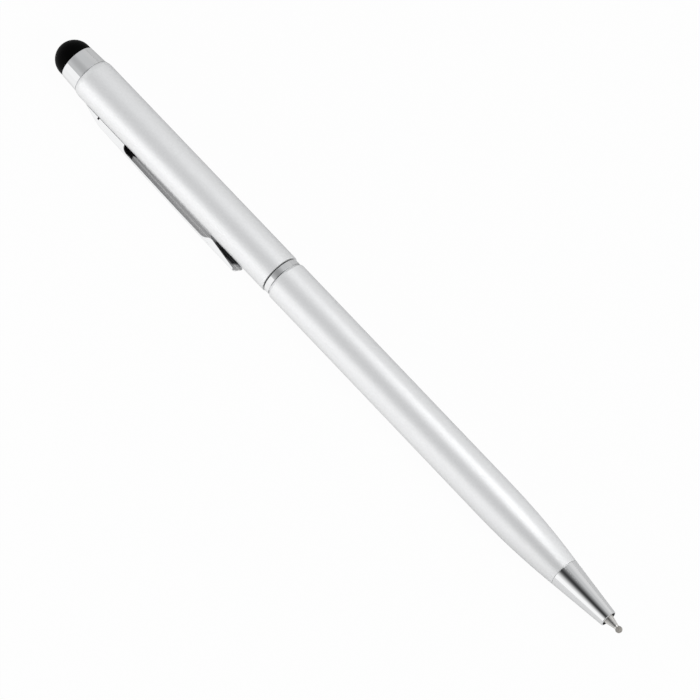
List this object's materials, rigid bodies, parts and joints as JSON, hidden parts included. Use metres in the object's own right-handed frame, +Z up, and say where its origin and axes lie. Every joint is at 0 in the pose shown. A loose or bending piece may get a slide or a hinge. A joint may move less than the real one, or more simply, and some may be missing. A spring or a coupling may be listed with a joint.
{
  "type": "stylus pen",
  "caption": "Slim twist-action ballpoint pen with a pocket clip and a rubber stylus dome on its end for touch screens.",
  "frame": {"origin": "on the pen's axis, in the rear face of the lower barrel, where the two barrels turn against each other", "axes": "+X along the pen towards the writing tip, +Z up with the pen lying on its barrels and on one edge of the clip"},
  "size_m": [0.1359, 0.0087, 0.0074],
  "materials": {
    "silver_lacquer": "satin silver lacquer on drawn aluminium tube",
    "chrome_trim": "bright chrome on turned metal",
    "chrome_clip": "bright chrome on pressed spring steel",
    "brass_parts": "turned brass",
    "spring_steel": "bright spring steel",
    "ring_rubber": "matte black rubber",
    "slide_plastic": "natural acetal",
    "black_plastic": "black moulded plastic",
    "stylus_rubber": "smooth black conductive rubber",
    "ink": "thick ballpoint ink",
    "point_metal": "turned nickel silver",
    "ball_carbide": "ground carbide",
    "seal_wax": "soft clear wax drop"
  },
  "bodies": {
    "lower_body": {"lower_barrel": "silver_lacquer", "nose_cone": "chrome_trim", "centre_ring": "chrome_trim", "guide_tube": "black_plastic", "retaining_ring": "spring_steel", "friction_ring": "ring_rubber"},
    "upper_body": {"upper_barrel": "silver_lacquer", "cam_sleeve": "slide_plastic", "clip_lock": "black_plastic", "top_collar": "chrome_trim", "tip_core": "brass_parts", "stylus_tip": "stylus_rubber"},
    "clip_body": {"clip": "chrome_clip"},
    "refill_body": {"driver": "slide_plastic", "drive_pin": "spring_steel", "refill_tube": "brass_parts", "ink": "ink", "writing_point": "point_metal", "writing_ball": "ball_carbide", "tip_seal": "seal_wax"}
  },
  "joints": [
    {"name": "twist", "type": "hinge", "parent": "lower_body", "child": "upper_body", "pos_m": [0, 0, 0], "axis": [-1, 0, 0], "range_deg": [0, 180]},
    {"name": "refill_slide", "type": "slide", "parent": "lower_body", "child": "refill_body", "axis": [-1, 0, 0], "range_m": [0, 0.0045]},
    {"name": "clip_flex", "type": "hinge", "parent": "upper_body", "child": "clip_body", "pos_m": [-0.0458, -0.0032, -0.00176], "axis": [0, 0.4813, -0.8765], "range_deg": [0, 3], "stiffness_Nm_per_rad": 2.5}
  ],
  "couplings": [
    {"joint": "twist", "follows": "refill_slide", "rad_per_m": 698.13}
  ]
}
